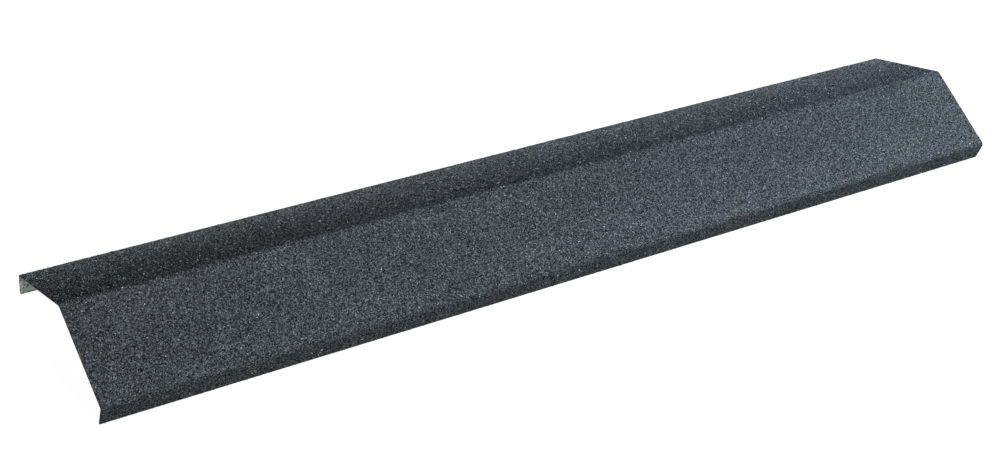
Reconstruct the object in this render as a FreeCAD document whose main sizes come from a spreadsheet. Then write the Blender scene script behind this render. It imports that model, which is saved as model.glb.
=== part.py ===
# Stone-coated steel ridge cap: one folded sheet that covers the ridge of a roof.
#
# Two equal wings fall from the ridge fold to both roof slopes, and a narrow lip is folded
# down and a little inwards along the outer edge of each wing. The cap lies on its two lips.
# The frame: X along the ridge, Y across it, Z up, origin in the middle of the floor under it.

import FreeCAD, Part
import os
import Sketcher

# Driving dimensions in millimetres and degrees: alias, value, meaning
DRIVING_DIMENSIONS = [
    ("cap_length", 1250.0, "length along the ridge, the width of the coil it is cut from"),
    ("wing_width", 119.0, "ridge line to lip line, over the outer faces, folds taken as sharp"),
    ("lip_depth", 24.0, "lip line to foot, over the outer face, fold taken as sharp"),
    ("ridge_angle", 133.0, "inside angle between the two wings"),
    ("lip_angle", 105.5, "inside angle between a wing and its lip"),
    ("coated_thickness", 2.0, "steel sheet with its stone-chip coat"),
    ("ridge_fold_radius", 6.0, "outer radius of the ridge fold"),
    ("lip_fold_radius", 4.0, "outer radius of the folds between wing and lip"),
]

TOLERANCE = 1e-4


def add_dimension_sheet(doc):
    """The spreadsheet that holds every driving dimension under its own alias."""
    sheet = doc.addObject("Spreadsheet::Sheet", "dims")
    for row, (alias, value, meaning) in enumerate(DRIVING_DIMENSIONS, start=1):
        sheet.set(f"A{row}", alias)
        sheet.set(f"B{row}", str(value))
        sheet.set(f"C{row}", meaning)
        sheet.setAlias(f"B{row}", alias)
    doc.recompute()
    return sheet


def origin_plane(body, role):
    """One of a body's own origin planes, by its role, such as YZ_Plane."""
    return next(feature for feature in body.Origin.OriginFeatures if feature.Role == role)


def outline_corners(sheet):
    """Outer outline of the section as (y, z): left foot and lip line, ridge, right lip line and foot.

    Each wing falls by half of what the ridge angle lacks to 180 degrees, and each lip
    turns from its wing by what the lip angle lacks to 180 degrees.
    """
    wing_down = FreeCAD.Vector(sheet.wing_width, 0, 0)
    lip_down = FreeCAD.Vector(sheet.lip_depth, 0, 0)
    fall = (180.0 - sheet.ridge_angle) / 2
    turn = fall + 180.0 - sheet.lip_angle
    about_x = FreeCAD.Vector(0, 0, -1)
    wing_down = FreeCAD.Rotation(about_x, fall).multVec(wing_down)
    lip_down = FreeCAD.Rotation(about_x, turn).multVec(lip_down)
    ridge = FreeCAD.Vector(0, -wing_down.y - lip_down.y, 0)
    lip_line = ridge + wing_down
    foot = lip_line + lip_down
    mirrored = [FreeCAD.Vector(-point.x, point.y, 0) for point in (foot, lip_line)]
    return [*mirrored, ridge, lip_line, foot]


def draw_section(doc, body, sheet):
    """The closed outer outline across the ridge, fully constrained: lips, wings and floor line."""
    sketch = body.newObject("Sketcher::SketchObject", "section")
    sketch.AttachmentSupport = [(origin_plane(body, "YZ_Plane"), "")]
    sketch.MapMode = "FlatFace"

    corners = outline_corners(sheet)
    left_lip, left_wing, right_wing, right_lip, floor_line = (
        sketch.addGeometry(Part.LineSegment(start, end))
        for start, end in zip(corners, corners[1:] + corners[:1])
    )
    start, end = 1, 2
    across, upright, centre = -1, -2, 1

    def tie(*constraint):
        return sketch.addConstraint(Sketcher.Constraint(*constraint))

    ring = [left_lip, left_wing, right_wing, right_lip, floor_line]
    for line, following in zip(ring, ring[1:] + ring[:1]):
        tie("Coincident", line, end, following, start)
    tie("PointOnObject", left_wing, end, upright)
    tie("Symmetric", left_wing, start, right_wing, end, upright)
    tie("Symmetric", left_lip, start, right_lip, end, upright)
    tie("PointOnObject", right_lip, end, across)

    wing = tie("Distance", right_wing, sheet.wing_width)
    lip = tie("Distance", right_lip, sheet.lip_depth)
    to_radians = FreeCAD.Units.Quantity("1 deg").getValueAs("rad").Value
    ridge = tie("Angle", left_wing, end, right_wing, start, sheet.ridge_angle * to_radians)
    fold = tie("Angle", right_wing, end, right_lip, start, sheet.lip_angle * to_radians)
    for index, alias, unit in (
        (wing, "wing_width", "mm"),
        (lip, "lip_depth", "mm"),
        (ridge, "ridge_angle", "deg"),
        (fold, "lip_angle", "deg"),
    ):
        sketch.renameConstraint(index, alias)
        sketch.setExpression(f"Constraints.{alias}", f"dims.{alias} * 1 {unit}")
    doc.recompute()
    return sketch


def lies_at(point, place):
    """Whether a point of the section lies at the given (y, z) place."""
    y, z = place
    return abs(point.y - y) < TOLERANCE and abs(point.z - z) < TOLERANCE


def edges_along_ridge(shape, places):
    """Names of the edges that run along X through the given (y, z) places."""
    names = []
    for number, edge in enumerate(shape.Edges, start=1):
        ends = [vertex.Point for vertex in edge.Vertexes]
        if any(all(lies_at(end, place) for end in ends) for place in places):
            names.append(f"Edge{number}")
    return names


def open_faces(shape):
    """Names of the faces that the folded sheet leaves open: both ends and the floor side."""
    names = []
    for number, face in enumerate(shape.Faces, start=1):
        normal = face.normalAt(0, 0)
        if abs(abs(normal.x) - 1) < TOLERANCE or abs(normal.z + 1) < TOLERANCE:
            names.append(f"Face{number}")
    return names


def round_fold(doc, body, base, name, places, radius_alias):
    """Rounds the edges at the given places to a fold radius from the sheet."""
    fold = body.newObject("PartDesign::Fillet", name)
    fold.Base = (base, edges_along_ridge(base.Shape, places))
    fold.setExpression("Radius", f"dims.{radius_alias}")
    doc.recompute()
    return fold


def build_ridge_cap(doc, sheet):
    """The folded sheet: outer form padded along the ridge, folds rounded, then hollowed to the sheet."""
    body = doc.addObject("PartDesign::Body", "ridge_cap")
    body.Label = "ridge_cap"
    section = draw_section(doc, body, sheet)

    form = body.newObject("PartDesign::Pad", "outer_form")
    form.Profile = section
    form.Midplane = True
    form.setExpression("Length", "dims.cap_length")
    doc.recompute()

    places = [(corner.x, corner.y) for corner in outline_corners(sheet)]
    _, left_lip_line, ridge, right_lip_line, _ = places
    ridge_fold = round_fold(doc, body, form, "ridge_fold", [ridge], "ridge_fold_radius")
    lip_folds = round_fold(
        doc, body, ridge_fold, "lip_folds", [left_lip_line, right_lip_line], "lip_fold_radius"
    )

    folded_sheet = body.newObject("PartDesign::Thickness", "folded_sheet")
    folded_sheet.Base = (lip_folds, open_faces(lip_folds.Shape))
    folded_sheet.Reversed = True
    folded_sheet.setExpression("Value", "dims.coated_thickness")
    doc.recompute()
    body.Tip = folded_sheet
    return body


def check_and_export(doc, sub_parts, folder="parts"):
    """Stops on any failed object or unsound solid, then writes each sub-part to its own STEP file."""
    doc.recompute()
    for item in doc.Objects:
        if "Invalid" in item.State or "Error" in item.State:
            raise RuntimeError(f"{item.Label} failed: {item.State}")
    for part in sub_parts:
        shape = part.Shape
        if shape.isNull() or not shape.isValid() or shape.Volume <= 0:
            raise RuntimeError(f"{part.Label} has no sound solid")
    os.makedirs(folder, exist_ok=True)
    for part in sub_parts:
        part.Shape.exportStep(os.path.join(folder, f"{part.Label}.step"))
        box = part.Shape.BoundBox
        print(
            f"{part.Label}: {box.XLength:.2f} x {box.YLength:.2f} x {box.ZLength:.2f} mm,"
            f" {part.Shape.Volume / 1000:.2f} cm3, {len(part.Shape.Solids)} solid"
        )


def main():
    doc = FreeCAD.newDocument("ridge_cap")
    sheet = add_dimension_sheet(doc)
    check_and_export(doc, [build_ridge_cap(doc, sheet)])


main()
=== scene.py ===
import math

import bpy
import numpy as np
from mathutils import Matrix, Vector


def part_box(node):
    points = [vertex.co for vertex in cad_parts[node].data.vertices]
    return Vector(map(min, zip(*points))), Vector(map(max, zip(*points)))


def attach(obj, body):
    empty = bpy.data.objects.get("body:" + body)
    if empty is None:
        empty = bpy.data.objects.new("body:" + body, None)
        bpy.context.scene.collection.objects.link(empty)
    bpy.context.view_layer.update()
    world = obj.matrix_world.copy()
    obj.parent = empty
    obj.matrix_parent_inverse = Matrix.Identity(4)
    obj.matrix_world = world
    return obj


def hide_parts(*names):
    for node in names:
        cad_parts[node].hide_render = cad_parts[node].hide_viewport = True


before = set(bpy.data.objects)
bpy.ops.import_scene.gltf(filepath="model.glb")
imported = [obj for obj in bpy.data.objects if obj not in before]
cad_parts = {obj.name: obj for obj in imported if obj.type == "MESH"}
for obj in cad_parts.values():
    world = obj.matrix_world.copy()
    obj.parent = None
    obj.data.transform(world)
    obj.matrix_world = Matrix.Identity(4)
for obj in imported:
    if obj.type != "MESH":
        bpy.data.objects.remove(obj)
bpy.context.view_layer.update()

_, cap_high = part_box("ridge_cap")
MM = 0.001
WHOLE_TURN = 2 * math.pi

# The folded section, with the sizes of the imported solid
HALF_LENGTH = cap_high[0]
CROWN = cap_high[2]
WING = 119.0 * MM
LIP = 24.0 * MM
RIDGE_ANGLE = 133.0
LIP_ANGLE = 105.5
RIDGE_FOLD = 6.0 * MM
LIP_FOLD = 4.0 * MM
COATED_SHEET = 2.0 * MM

# How far a wing falls from level, a lip turns from its wing, and a lip leans in from upright
FALL = math.radians((180.0 - RIDGE_ANGLE) / 2)
LIP_TURN = math.radians(180.0 - LIP_ANGLE)
LIP_LEAN = FALL + LIP_TURN - math.pi / 2

# Runs of the outer face, and distances along it from the ridge crown
LIP_SETBACK = LIP_FOLD * math.tan(LIP_TURN / 2)
RIDGE_ARC = RIDGE_FOLD * FALL
WING_FLAT = WING - RIDGE_FOLD * math.tan(FALL) - LIP_SETBACK
LIP_ARC = LIP_FOLD * LIP_TURN
FOLD_START = RIDGE_ARC + WING_FLAT
FOLD_END = FOLD_START + LIP_ARC
FOOT = FOLD_END + LIP - LIP_SETBACK

# Layers, as depths under the outer face
STEEL = 0.45 * MM
BED = 0.28 * MM
STEEL_TOP = COATED_SHEET - STEEL

# Steps of a layer over each run of the section, its stations along the ridge, and what counts as an edge
RIDGE_STEPS = 6
WING_STEPS = 12
FOLD_STEPS = 10
LIP_STEPS = 3
STATIONS = 41
SHARP_EDGE = math.radians(30)

# Painted light and shade: the wings are painted a little paler towards their outer margins, as painted
# light, and the upright lips are painted darker than the wings, as painted shade
MARGIN_START = 50.0 * MM
MARGIN_END = FOLD_START - 2.0 * MM
# The painted light at the wings' outer margins, as a share of the wings' colour
MARGIN_PAINTED_LIGHT = 1.15
# The lips' painted shade, as a share of the wings' colour
LIP_PAINTED_SHADE = 0.48

# Stone chips: their grid, their foot as shares of the pitch and of the radius, and how high their tops stand
CHIP_PITCH = 1.32 * MM
CHIP_STRAY = 0.3
CHIP_RADIUS = (0.9, 1.15)
FOOT_REACH = (0.75, 1.15)
FOOT_TWIST = 0.35
TOP_LEAN = 0.35
CHIP_TOP = (-0.02 * MM, 0.24 * MM)
PROUD_SHARE = 0.14
PROUD_RISE = (0.15 * MM, 0.65 * MM)
CHIP_ROOT = BED + 0.02 * MM
CUT_BURR = 0.4 * MM
CHIP_STRIPS = 6
CHIP_SEED = 11


def on_section(s, depth=0.0):
    """Place (y, z) on the folded section at distance s from the ridge crown, along the outer face.

    Going out from the crown, the heading turns down through the ridge fold, holds along the wing, turns
    again through the lip fold and holds along the lip. y adds up the cosine of the heading and z loses its
    sine, in closed form for each run. The place then goes in by depth against the outward normal, which
    leans from upright by the heading. Negative s is the front side.
    """
    out = np.abs(s)
    in_ridge = np.minimum(out, RIDGE_ARC) / RIDGE_FOLD
    on_wing = np.clip(out - RIDGE_ARC, 0, WING_FLAT)
    in_fold = np.clip(out - FOLD_START, 0, LIP_ARC) / LIP_FOLD
    on_lip = np.maximum(out - FOLD_END, 0)
    y = RIDGE_FOLD * np.sin(in_ridge) + on_wing * math.cos(FALL)
    y += LIP_FOLD * (np.sin(FALL + in_fold) - math.sin(FALL)) + on_lip * math.cos(FALL + LIP_TURN)
    z = CROWN - RIDGE_FOLD * (1 - np.cos(in_ridge)) - on_wing * math.sin(FALL)
    z -= LIP_FOLD * (math.cos(FALL) - np.cos(FALL + in_fold)) + on_lip * math.sin(FALL + LIP_TURN)
    heading = in_ridge + in_fold
    return np.where(s < 0, -1, 1) * (y - depth * np.sin(heading)), z - depth * np.cos(heading)


def painted_shading_level(s):
    """How much painted light and shade the coat gets at distance s from the ridge crown, on straight ramps.

    It is 1 up to the margin, gains a little painted light to the margin's end and drops to painted shade
    round the lip fold.
    """
    places = [MARGIN_START, MARGIN_END, FOLD_END]
    return np.interp(np.abs(s), places, [1.0, MARGIN_PAINTED_LIGHT, LIP_PAINTED_SHADE])


def mesh_piece(name, places, faces, material):
    """A mesh object from an array of places and an array of faces with the same number of corners each."""
    mesh = bpy.data.meshes.new(name)
    mesh.vertices.add(len(places))
    mesh.vertices.foreach_set("co", places.astype(np.float32).ravel())
    mesh.loops.add(faces.size)
    mesh.loops.foreach_set("vertex_index", faces.astype(np.int32).ravel())
    mesh.polygons.add(len(faces))
    mesh.polygons.foreach_set("loop_start", np.arange(0, faces.size, faces.shape[1], dtype=np.int32))
    mesh.update(calc_edges=True)
    mesh.materials.append(material)
    piece = bpy.data.objects.new(name, mesh)
    bpy.context.scene.collection.objects.link(piece)
    return piece


def add_value(piece, attribute, values):
    """One number for each place of a mesh, which its material reads by name."""
    layer = piece.data.attributes.new(attribute, "FLOAT", "POINT")
    layer.data.foreach_set("value", values.astype(np.float32).ravel())


def section_steps(depth):
    """Distances along the section for a layer's face: even steps on each run, closest round the folds.

    Both sides of the crown have the same steps. A deeper face reaches on by its depth times the tangent of
    the lip's lean, so that every layer ends on the floor.
    """
    half = np.concatenate([
        np.linspace(0, RIDGE_ARC, RIDGE_STEPS + 1),
        np.linspace(RIDGE_ARC, FOLD_START, WING_STEPS + 1)[1:],
        np.linspace(FOLD_START, FOLD_END, FOLD_STEPS + 1)[1:],
        np.linspace(FOLD_END, FOOT + depth * math.tan(LIP_LEAN), LIP_STEPS + 1)[1:],
    ])
    return np.concatenate([-half[:0:-1], half])


def folded_layer(name, top, bottom, material):
    """One layer of the sheet as a closed shell: the section at two depths, carried along the ridge.

    The outer row of the section and the inner row, taken backwards, make a closed outline. Each station
    along the ridge repeats it, quads join neighbouring stations, and quads between the two rows close
    both ends.
    """
    outer, inner = section_steps(top), section_steps(bottom)[::-1]
    outer_row = np.stack(on_section(outer, top), 1)
    inner_row = np.stack(on_section(inner, bottom), 1)
    outline = np.concatenate([outer_row, inner_row])
    around = len(outline)
    x = np.repeat(np.linspace(-HALF_LENGTH, HALF_LENGTH, STATIONS), around)
    places = np.column_stack([x, np.tile(outline, (STATIONS, 1))])

    first = np.arange(around)
    following = (first + 1) % around
    step = around * np.arange(STATIONS - 1)[:, None]
    sides = np.stack([first + step, first + step + around, following + step + around, following + step], -1)
    row = np.arange(len(outer) - 1)
    back = around - 1 - row
    near_end = np.stack([row, row + 1, back - 1, back], 1)
    far_end = near_end[:, ::-1] + around * (STATIONS - 1)
    faces = np.concatenate([sides.reshape(-1, 4), near_end, far_end])

    piece = mesh_piece(name, places, faces, material)
    piece.data.set_sharp_from_angle(angle=SHARP_EDGE)
    # Painted light and shade for the layer's colour: paler wing margins, darker lips
    add_value(piece, "painted_shading_level", np.tile(painted_shading_level(np.concatenate([outer, inner])), STATIONS))
    return piece


# Corners 0 to 2 of a chip are its foot, corner 3 its top
CHIP_CORNERS = 4
CHIP_FACES = np.array([[0, 1, 3], [1, 2, 3], [2, 0, 3], [0, 2, 1]])

# The chip unfolded on a unit square, its top in the middle and one face on each side of the square
UNFOLDED = np.array([
    [[0, 0], [1, 0], [0.5, 0.5]],
    [[1, 0], [1, 1], [0.5, 0.5]],
    [[1, 1], [0, 1], [0.5, 0.5]],
    [[0, 1], [0, 0], [0.5, 0.5]],
])
UNFOLDED_SHARE = 0.85


def add_bake_map(piece, count):
    """A map that gives each chip a cell of its own on a square grid, in which it lies unfolded.

    The unfolded chip is drawn in a little towards the middle of its cell, so that neighbours share no texel.
    """
    unfolded = 0.5 + UNFOLDED_SHARE * (UNFOLDED.reshape(1, -1, 2) - 0.5)
    per_side = math.ceil(math.sqrt(count))
    chip = np.arange(count)
    cell = np.stack([chip % per_side, chip // per_side], -1)[:, None]
    places = (cell + unfolded) / per_side
    layer = piece.data.uv_layers.new(name="OFBake")
    layer.uv.foreach_set("vector", places.astype(np.float32).ravel())


def chip_middles(rng, s_low, s_high):
    """Middles (x, s) of the chips of one strip, on a staggered grid and moved off it at random.

    Rows lie half the root of three of a pitch apart, and every other row is moved on by half a pitch. The
    pitch gives way a little, so that whole rows fill the strip and whole chips fill a row.
    """
    row_count = round((s_high - s_low) / (CHIP_PITCH * math.sqrt(3) / 2))
    per_row = round(2 * HALF_LENGTH / CHIP_PITCH)
    grid = np.meshgrid(np.arange(row_count), np.arange(per_row), indexing="ij")
    row, place = (numbers.ravel() for numbers in grid)
    s = s_low + (row + 0.5) * (s_high - s_low) / row_count
    x = -HALF_LENGTH + (place + 0.25 + 0.5 * (row % 2)) * 2 * HALF_LENGTH / per_row
    s = s + CHIP_PITCH * rng.uniform(-CHIP_STRAY, CHIP_STRAY, row.size)
    x = x + CHIP_PITCH * rng.uniform(-CHIP_STRAY, CHIP_STRAY, row.size)
    return x, s


def chip_corners(rng, x, s):
    """Places of the corners of each chip, as an array of chips by corners by (x, y, z).

    The three corners of the foot lie about a radius from the chip's middle and a third of a turn apart, sunk
    in the bed. The top stands off the middle at random, and a few tops stand proud of the rest. A corner
    goes from (x, s, height) to its place on the folded section.
    """
    count = len(x)
    radius = CHIP_PITCH * rng.uniform(*CHIP_RADIUS, count)
    foot_turn = WHOLE_TURN / 3 * np.arange(3) + rng.uniform(-FOOT_TWIST, FOOT_TWIST, (count, 3))
    foot_turn = foot_turn + rng.uniform(0, WHOLE_TURN, (count, 1))
    foot_reach = radius[:, None] * rng.uniform(*FOOT_REACH, (count, 3))
    turn = np.column_stack([foot_turn, rng.uniform(0, WHOLE_TURN, count)])
    reach = np.column_stack([foot_reach, radius * rng.uniform(0, TOP_LEAN, count)])

    proud = rng.uniform(0, 1, count) < PROUD_SHARE
    top = rng.uniform(*CHIP_TOP, count) + proud * rng.uniform(*PROUD_RISE, count)
    height = np.column_stack([np.full((count, 3), -CHIP_ROOT), top])

    # A cut end leaves no stone standing out by more than a burr, and none hangs under the foot
    furthest = HALF_LENGTH + CUT_BURR
    corner_x = np.clip(x[:, None] + reach * np.cos(turn), -furthest, furthest)
    corner_s = np.clip(s[:, None] + reach * np.sin(turn), -FOOT, FOOT)
    y, z = on_section(corner_s, -height)
    return np.stack([corner_x, y, z], -1)


def stone_chips(name, s_low, s_high, seed, material):
    """Crushed stone chips over one strip of the coat, each a closed four-sided shard.

    Neighbours overlap, so what shows is a bed of broken facets. Each chip has a tone and a gloss of its own,
    and the coat's painted light and shade level at its middle: paler on the wing margins, darker on the
    lips.
    """
    rng = np.random.default_rng(seed)
    x, s = chip_middles(rng, s_low, s_high)
    places = chip_corners(rng, x, s).reshape(-1, 3)
    count = len(x)
    faces = CHIP_FACES[None] + CHIP_CORNERS * np.arange(count)[:, None, None]
    piece = mesh_piece(name, places, faces.reshape(-1, 3), material)
    piece.data.shade_flat()
    add_bake_map(piece, count)
    add_value(piece, "chip_tone", np.repeat(rng.uniform(0, 1, count), CHIP_CORNERS))
    add_value(piece, "chip_gloss", np.repeat(rng.uniform(0, 1, count), CHIP_CORNERS))
    # Painted light and shade for the chip's colour: paler wing margins, darker lips
    add_value(piece, "painted_shading_level", np.repeat(painted_shading_level(s), CHIP_CORNERS))
    return piece


class Nodes:
    """Short ways to add and link nodes in one tree. Most take numbers or sockets, and give a socket."""

    def __init__(self, tree):
        self.tree = tree

    def add(self, kind, **settings):
        node = self.tree.nodes.new(kind)
        for key, value in settings.items():
            setattr(node, key, value)
        return node

    def link(self, source, target):
        self.tree.links.new(source, target)

    def feed(self, socket, value):
        """Sets a socket to a number or colour, or links another socket to it."""
        if isinstance(value, (int, float)):
            socket.default_value = value
        elif isinstance(value, tuple):
            socket.default_value = (*value, 1.0)
        else:
            self.link(value, socket)

    def maths(self, operation, first, second):
        node = self.add("ShaderNodeMath", operation=operation)
        self.feed(node.inputs[0], first)
        self.feed(node.inputs[1], second)
        return node.outputs[0]

    def ramp(self, factor, stops):
        """A colour ramp through (position, colour) stops."""
        node = self.add("ShaderNodeValToRGB")
        elements = node.color_ramp.elements
        while len(elements) < len(stops):
            elements.new(0.5)
        for element, (position, colour) in zip(elements, stops):
            element.position = position
            element.color = (*colour, 1.0)
        self.link(factor, node.inputs["Fac"])
        return node.outputs["Color"]

    def mix(self, factor, first, second):
        """The first colour where the factor is 0, the second where it is 1."""
        node = self.add("ShaderNodeMix", data_type="RGBA")
        for name, value in (("Factor", factor), ("A", first), ("B", second)):
            shown = next(socket for socket in node.inputs if socket.name == name and socket.enabled)
            self.feed(shown, value)
        return next(socket for socket in node.outputs if socket.enabled)

    def scaled(self, colour, factor):
        """A colour times a value."""
        node = self.add("ShaderNodeVectorMath", operation="SCALE")
        self.link(colour, node.inputs[0])
        self.link(factor, node.inputs["Scale"])
        return node.outputs[0]

    def between(self, value, low, high):
        """A value from 0 to 1, spread between two others."""
        return self.maths("ADD", self.maths("MULTIPLY", value, high - low), low)

    def step_up(self, value, start, end):
        """0 before start, 1 past end and a straight climb between them."""
        node = self.add("ShaderNodeMapRange")
        self.link(value, node.inputs["Value"])
        node.inputs["From Min"].default_value = start
        node.inputs["From Max"].default_value = end
        return node.outputs["Result"]

    def place(self):
        """Object coordinates."""
        return self.add("ShaderNodeTexCoord").outputs["Object"]

    def attribute(self, name):
        """One of the mesh's own values, by name."""
        return self.add("ShaderNodeAttribute", attribute_name=name).outputs["Fac"]

    def noise(self, place, scale, detail):
        node = self.add("ShaderNodeTexNoise")
        self.link(place, node.inputs["Vector"])
        node.inputs["Scale"].default_value = scale
        node.inputs["Detail"].default_value = detail
        return node.outputs["Fac"]

    def group(self, tree, **values):
        """A node group with its own values; gives its outputs."""
        node = self.add("ShaderNodeGroup", node_tree=tree)
        for title, value in values.items():
            self.feed(node.inputs[title], value)
        return node.outputs


def new_material(name):
    """A material with its nodes and its Principled BSDF."""
    material = bpy.data.materials.new(name)
    material.use_nodes = True
    nodes = Nodes(material.node_tree)
    return material, nodes, material.node_tree.nodes["Principled BSDF"]


def new_group(name, inputs, outputs):
    """An empty node group with float inputs, given with their usual values, and float outputs."""
    tree = bpy.data.node_groups.new(name, "ShaderNodeTree")
    for title, usual in inputs.items():
        socket = tree.interface.new_socket(title, in_out="INPUT", socket_type="NodeSocketFloat")
        socket.default_value = usual
    for title in outputs:
        tree.interface.new_socket(title, in_out="OUTPUT", socket_type="NodeSocketFloat")
    nodes = Nodes(tree)
    return tree, nodes, nodes.add("NodeGroupInput").outputs, nodes.add("NodeGroupOutput").inputs


# Patches of uneven coating, stones and crystals to the metre, and how deep the unevenness goes
WIDE_PATCHES = 14.0
NARROW_PATCHES = 90.0
CHIP_CRYSTALS = 1150.0
GRIT_STONES = 1050.0
COAT_UNEVEN = 0.3
PRIMER_UNEVEN = 0.2

# Colours of the layers
BINDER = (0.009, 0.010, 0.010)
PRIMER = (0.360, 0.440, 0.400)
ZINC = (0.600, 0.595, 0.585)
STONE_GREYS = [
    (0.0, (0.0055, 0.0058, 0.0062)),
    (0.25, (0.0272, 0.0293, 0.0319)),
    (0.5, (0.0669, 0.0722, 0.0780)),
    (0.75, (0.1135, 0.1219, 0.1314)),
    (0.92, (0.1593, 0.1706, 0.1819)),
    (1.0, (0.2546, 0.2633, 0.2706)),
]

# Each chip's own tone, how far its crystals stray from it, and the gloss from which a face is glossy
CHIP_TONES = (0.08, 0.92)
CRYSTAL_SHIFT = 0.3
GLOSSY_FROM = (0.9, 0.91)
GLOSSY_ROUGHNESS = 0.25
DULL_SPECULAR = 0.02
CHIP_ROUGHNESS = (0.6, 0.95)

# The grit of the bed: where its stones give way to binder, from the middle of a cell, and its relief
GRIT_EDGE = (0.55, 0.75)
GRIT_ROUGHNESS = (0.65, 0.95)
GRIT_BUMP = 0.6
BED_RELIEF = 0.4 * MM

# How squarely a face looks along the ridge to count as a cut end
CUT_FACING = (0.4, 0.6)

# Underside: rolling streaks along and across the ridge, and the ragged bare strip, measured from a cut end
STREAK_SCALE = (260.0, 7.0, 7.0)
STREAK_LEVEL = (0.86, 1.14)
STREAK_ROUGHNESS = (0.42, 0.66)
PRIMED_METALLIC = 0.55
BARE_FADE = (1.9 * MM, 1.2 * MM)
BARE_RAGGED = 2.0 * MM
RAGGED_SCALE = 300.0

# Stray specks thicken over these distances, from a cut end and from the middle, and show above a noise level
SPECKS_FROM_END = (90.0 * MM, 20.0 * MM)
SPECKS_FROM_MIDDLE = (60.0 * MM, 104.0 * MM)
SPECK_LEVEL = (0.76, 0.56)
SPECK_EDGE = 0.03
SPECK_SCALE = 520.0


def mottle_group():
    """Uneven coating: a factor round 1 that drifts over hand-sized and finger-sized patches."""
    tree, nodes, given, result = new_group("uneven_coating", {"Depth": 0.2}, ["Factor"])
    place = nodes.place()
    wide = nodes.noise(place, WIDE_PATCHES, detail=2.0)
    narrow = nodes.noise(place, NARROW_PATCHES, detail=3.0)
    both = nodes.maths("ADD", nodes.maths("MULTIPLY", wide, 0.5), nodes.maths("MULTIPLY", narrow, 0.5))
    swing = nodes.maths("MULTIPLY", nodes.maths("SUBTRACT", both, 0.5), 2.0)
    nodes.link(nodes.maths("ADD", nodes.maths("MULTIPLY", swing, given["Depth"]), 1.0), result["Factor"])
    return tree


def crystal_group():
    """Broken stone: a random value for each crystal-sized cell, and the distance from the cell's middle."""
    tree, nodes, given, result = new_group("crystal_cells", {"Scale": 1200.0}, ["Cell", "Distance"])
    cells = nodes.add("ShaderNodeTexVoronoi")
    nodes.link(nodes.place(), cells.inputs["Vector"])
    nodes.link(given["Scale"], cells.inputs["Scale"])
    red = nodes.add("ShaderNodeSeparateColor")
    nodes.link(cells.outputs["Color"], red.inputs[0])
    nodes.link(red.outputs[0], result["Cell"])
    nodes.link(cells.outputs["Distance"], result["Distance"])
    return tree


def cut_end_group():
    """The two cut ends of the sheet: 1 on faces that look along the ridge, else 0."""
    tree, nodes, _, result = new_group("cut_ends", {}, ["Mask"])
    facing = nodes.add("ShaderNodeSeparateXYZ")
    nodes.link(nodes.add("ShaderNodeTexCoord").outputs["Normal"], facing.inputs[0])
    along = nodes.maths("ABSOLUTE", facing.outputs["X"], 0.0)
    nodes.link(nodes.step_up(along, *CUT_FACING), result["Mask"])
    return tree


def stone_colour_group():
    """Greys of the crushed stone: a tone from 0 to 1 goes from near black to a pale grey, times the uneven
    coating and the painted light and shade.
    """
    tree, nodes, given, result = new_group("stone_greys", {"Tone": 0.5, "Uneven": 1.0}, [])
    tree.interface.new_socket("Color", in_out="OUTPUT", socket_type="NodeSocketColor")
    # Uneven coating times painted light and shade: paler wing margins, darker lips
    level = nodes.maths("MULTIPLY", given["Uneven"], nodes.attribute("painted_shading_level"))
    nodes.link(nodes.scaled(nodes.ramp(given["Tone"], STONE_GREYS), level), result["Color"])
    return tree


def stone_chip_material(mottle, crystals, greys):
    """Charcoal stone chips: each has its own grey, broken up by crystals, and a few have a glossy face."""
    material, nodes, shader = new_material("stone_chips")
    gloss = nodes.attribute("chip_gloss")
    cell = nodes.group(crystals, Scale=CHIP_CRYSTALS)["Cell"]
    shift = nodes.between(cell, -CRYSTAL_SHIFT, CRYSTAL_SHIFT)
    tone = nodes.maths("ADD", nodes.between(nodes.attribute("chip_tone"), *CHIP_TONES), shift)
    uneven = nodes.group(mottle, Depth=COAT_UNEVEN)["Factor"]
    nodes.link(nodes.group(greys, Tone=tone, Uneven=uneven)["Color"], shader.inputs["Base Color"])
    nodes.link(nodes.between(gloss, *CHIP_ROUGHNESS), shader.inputs["Roughness"])
    nodes.link(nodes.step_up(gloss, *GLOSSY_FROM), shader.inputs["Coat Weight"])
    shader.inputs["Coat Roughness"].default_value = GLOSSY_ROUGHNESS
    shader.inputs["Specular IOR Level"].default_value = DULL_SPECULAR
    return material


def coat_bed_material(mottle, crystals, greys, cut_ends):
    """The fine grit between the chips: small stones, one to a cell, pressed into the dark binder."""
    material, nodes, shader = new_material("coat_bed")
    grit = nodes.group(crystals, Scale=GRIT_STONES)
    uneven = nodes.group(mottle, Depth=COAT_UNEVEN)["Factor"]
    stone = nodes.group(greys, Tone=grit["Cell"], Uneven=uneven)["Color"]
    binder = nodes.step_up(grit["Distance"], *GRIT_EDGE)
    dark = nodes.maths("MAXIMUM", binder, nodes.group(cut_ends)["Mask"])
    nodes.link(nodes.mix(dark, stone, BINDER), shader.inputs["Base Color"])
    nodes.link(nodes.between(grit["Cell"], *GRIT_ROUGHNESS), shader.inputs["Roughness"])
    bump = nodes.add("ShaderNodeBump")
    bump.inputs["Strength"].default_value = GRIT_BUMP
    bump.inputs["Distance"].default_value = BED_RELIEF
    nodes.link(nodes.maths("SUBTRACT", grit["Cell"], grit["Distance"]), bump.inputs["Height"])
    nodes.link(bump.outputs["Normal"], shader.inputs["Normal"])
    shader.inputs["Specular IOR Level"].default_value = DULL_SPECULAR
    return material


def bare_zinc(nodes, place, along):
    """1 on a ragged strip at both cut ends, where the primer stops short, else 0."""
    ragged = nodes.maths("MULTIPLY", nodes.noise(place, RAGGED_SCALE, detail=2.0), BARE_RAGGED)
    start, end = (HALF_LENGTH - inset for inset in BARE_FADE)
    return nodes.step_up(nodes.maths("ADD", along, ragged), start, end)


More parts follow.
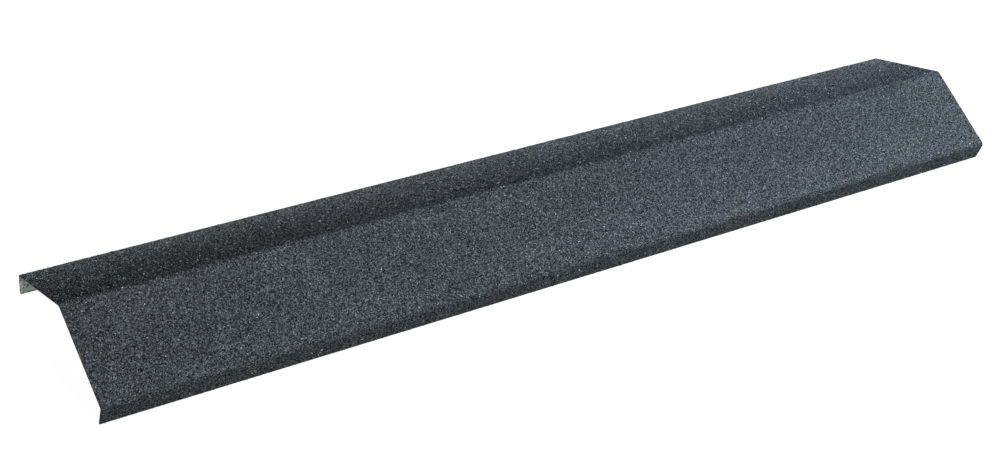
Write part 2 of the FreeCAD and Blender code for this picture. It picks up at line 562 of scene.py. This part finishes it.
def stray_specks(nodes, place, along, across):
    """1 on specks of stray coating, else 0: tops of a fine noise, most of them near the ends and lips."""
    start, end = (HALF_LENGTH - inset for inset in SPECKS_FROM_END)
    near_end = nodes.step_up(along, start, end)
    near_lip = nodes.step_up(across, *SPECKS_FROM_MIDDLE)
    level = nodes.between(nodes.maths("MAXIMUM", near_end, near_lip), *SPECK_LEVEL)
    blots = nodes.noise(place, SPECK_SCALE, detail=2.0)
    return nodes.step_up(nodes.maths("SUBTRACT", blots, level), 0.0, SPECK_EDGE)


def primed_steel_material(mottle, cut_ends):
    """Primed zinc-coated steel on the underside.

    Grey-green primer with faint rolling streaks across the ridge, bare zinc along the cut ends, and dark
    specks of stray coating that thin out away from the ends and lips.
    """
    material, nodes, shader = new_material("primed_steel")
    place = nodes.place()
    split = nodes.add("ShaderNodeSeparateXYZ")
    nodes.link(place, split.inputs[0])
    along = nodes.maths("ABSOLUTE", split.outputs["X"], 0.0)
    across = nodes.maths("ABSOLUTE", split.outputs["Y"], 0.0)

    stretch = nodes.add("ShaderNodeMapping")
    nodes.link(place, stretch.inputs["Vector"])
    stretch.inputs["Scale"].default_value = STREAK_SCALE
    streaks = nodes.noise(stretch.outputs["Vector"], 1.0, detail=3.0)
    uneven = nodes.group(mottle, Depth=PRIMER_UNEVEN)["Factor"]
    level = nodes.maths("MULTIPLY", uneven, nodes.between(streaks, *STREAK_LEVEL))
    ground = nodes.scaled(nodes.mix(bare_zinc(nodes, place, along), PRIMER, ZINC), level)

    specks = stray_specks(nodes, place, along, across)
    dark = nodes.maths("MAXIMUM", specks, nodes.group(cut_ends)["Mask"])
    metal = nodes.maths("MULTIPLY", nodes.maths("SUBTRACT", 1.0, dark), PRIMED_METALLIC)
    nodes.link(nodes.mix(dark, ground, BINDER), shader.inputs["Base Color"])
    nodes.link(metal, shader.inputs["Metallic"])
    nodes.link(nodes.between(streaks, *STREAK_ROUGHNESS), shader.inputs["Roughness"])
    return material


def build_cap():
    """The dressed cap: primed sheet below, coat bed on it, and strips of stone chips over the bed."""
    mottle = mottle_group()
    crystals = crystal_group()
    greys = stone_colour_group()
    cut_ends = cut_end_group()
    chips = stone_chip_material(mottle, crystals, greys)
    grit = coat_bed_material(mottle, crystals, greys, cut_ends)
    primed = primed_steel_material(mottle, cut_ends)
    steel = folded_layer("primed_sheet", STEEL_TOP, COATED_SHEET, primed)
    bed = folded_layer("coat_bed", BED, STEEL_TOP, grit)
    edges = np.linspace(-FOOT, FOOT, CHIP_STRIPS + 1)
    strips = [
        stone_chips(f"stone_chips_{k + 1}", edges[k], edges[k + 1], CHIP_SEED + k, chips)
        for k in range(CHIP_STRIPS)
    ]
    for piece in (steel, bed, *strips):
        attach(piece, "root")
        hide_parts("ridge_cap")


# Camera, as the photograph was taken
CAMERA_PLACE = (-1.1194, -1.2303, 1.2508)
CAMERA_AZIMUTH = math.radians(40.19)
CAMERA_ELEVATION = math.radians(38.03)
CAMERA_ROLL = math.radians(-11.70)
CAMERA_LENS = 62.24
SENSOR_WIDTH = 36.0


def add_camera():
    """A camera that looks along its azimuth and down by its elevation, then rolls about that line."""
    level = math.cos(CAMERA_ELEVATION)
    ahead = Vector((
        math.sin(CAMERA_AZIMUTH) * level,
        math.cos(CAMERA_AZIMUTH) * level,
        -math.sin(CAMERA_ELEVATION),
    ))
    level_right = ahead.cross(Vector((0, 0, 1))).normalized()
    level_up = level_right.cross(ahead)
    up = level_up * math.cos(CAMERA_ROLL) + level_right * math.sin(CAMERA_ROLL)
    right = ahead.cross(up)
    data = bpy.data.cameras.new("photo_camera")
    data.sensor_fit = "HORIZONTAL"
    data.sensor_width = SENSOR_WIDTH
    data.lens = CAMERA_LENS
    camera = bpy.data.objects.new("photo_camera", data)
    turn = Matrix((right, up, -ahead)).transposed().to_4x4()
    camera.matrix_world = Matrix.Translation(CAMERA_PLACE) @ turn
    bpy.context.scene.collection.objects.link(camera)
    bpy.context.scene.camera = camera


# Soft lamps: place, aim, size, power and colour
LAMPS = {
    "front": ((0, -2.85, 0.96), (0, 0, 0.03), (0.9, 0.9), 62, (1.02, 1, 0.97)),
    "front_far": ((0.5, -1.45, 0.71), (0.5, 0, 0.03), (0.6, 0.6), 14, (0.78, 1, 1.18)),
    "far_end": ((1.48, 0, 0.72), (0.5, 0, 0.03), (0.5, 0.5), 20, (0.75, 1, 1.22)),
    "back": ((0.25, 0.98, 0.2), (0.25, 0, 0.03), (0.4, 0.4), 2.2, (0.9, 1, 1.1)),
    "back_strip": ((0, 0.15, 0.07), (0, 0.09, 0.03), (1.5, 0.05), 0.5, (1, 1, 1)),
}

# Flat beams with soft edges: their source's radius, then place, aim, half width and height, power and colour
BEAM_SOURCE = 0.03
BEAMS = {
    "ridge_beam": ((-0.45, -1.4, 0.38), (-0.45, 0, CROWN), (0.65, 0.022), 34, (1, 1, 1)),
    "back_beam": ((0, 1.4, 0.25), (0, 0.065, 0.043), (0.8, 0.022), 80, (0.95, 1, 1.05)),
}

# The surround's own light, and the floor: half its side, its grey, and the glow that makes it look white
AMBIENT = 0.03
FLOOR_REACH = 8.0
FLOOR_GREY = (0.18, 0.18, 0.18, 1)
FLOOR_ROUGHNESS = 0.9
FLOOR_GLOW = 0.96
WHITE = (1, 1, 1, 1)


def add_light(name, kind, place, aim, watts, colour):
    """A lamp at a place, turned to its aim, which the camera doesn't see."""
    light = bpy.data.objects.new(name, bpy.data.lights.new(name, kind))
    light.data.energy = watts
    light.data.color = colour
    light.location = place
    light.rotation_euler = (Vector(aim) - Vector(place)).to_track_quat("-Z", "Y").to_euler()
    light.visible_camera = False
    bpy.context.scene.collection.objects.link(light)
    return light


def soft_light(name, place, aim, size, watts, colour):
    """A rectangular lamp."""
    light = add_light(name, "AREA", place, aim, watts, colour)
    light.data.shape = "RECTANGLE"
    light.data.size, light.data.size_y = size


def flat_beam(name, place, aim, half_size, watts, colour):
    """A spot lamp with its cone pressed flat: it lights a wide, low patch with soft edges at its aim.

    As a small source, it would sparkle on the glossy chips, so it is left out of glossy reflections.
    """
    half_width, half_height = half_size
    distance = (Vector(aim) - Vector(place)).length
    light = add_light(name, "SPOT", place, aim, watts, colour)
    light.data.spot_size = 2 * math.atan(half_width / distance)
    light.data.spot_blend = 1.0
    light.data.shadow_soft_size = BEAM_SOURCE
    light.scale = (1, half_height / half_width, 1)
    light.visible_glossy = False


def seen_directly(nodes):
    """1 for camera, glossy and transmission rays, else 0."""
    path = nodes.add("ShaderNodeLightPath")
    seen = nodes.maths("MAXIMUM", path.outputs["Is Camera Ray"], path.outputs["Is Glossy Ray"])
    return nodes.maths("MAXIMUM", seen, path.outputs["Is Transmission Ray"])


def add_floor():
    """A pale floor that is seen as white and keeps a faint shadow."""
    corners = np.array([[-1, -1, 0], [1, -1, 0], [1, 1, 0], [-1, 1, 0]]) * FLOOR_REACH
    material, nodes, shader = new_material("studio_floor")
    shader.inputs["Base Color"].default_value = FLOOR_GREY
    shader.inputs["Roughness"].default_value = FLOOR_ROUGHNESS
    shader.inputs["Specular IOR Level"].default_value = 0.0
    shader.inputs["Emission Color"].default_value = WHITE
    glow = nodes.maths("MULTIPLY", seen_directly(nodes), FLOOR_GLOW)
    nodes.link(glow, shader.inputs["Emission Strength"])
    mesh_piece("studio_floor", corners, np.array([[0, 1, 2, 3]]), material)


def add_surround():
    """An even surround: white where it is seen, directly or in gloss, and a faint light elsewhere."""
    world = bpy.data.worlds.new("studio")
    world.use_nodes = True
    bpy.context.scene.world = world
    nodes = Nodes(world.node_tree)
    background = world.node_tree.nodes["Background"]
    background.inputs["Color"].default_value = WHITE
    nodes.link(nodes.between(seen_directly(nodes), AMBIENT, 1.0), background.inputs["Strength"])


build_cap()
add_camera()
add_floor()
add_surround()
for name, lamp in LAMPS.items():
    soft_light(name, *lamp)
for name, beam in BEAMS.items():
    flat_beam(name, *beam)
bpy.context.scene.view_settings.view_transform = "Standard"
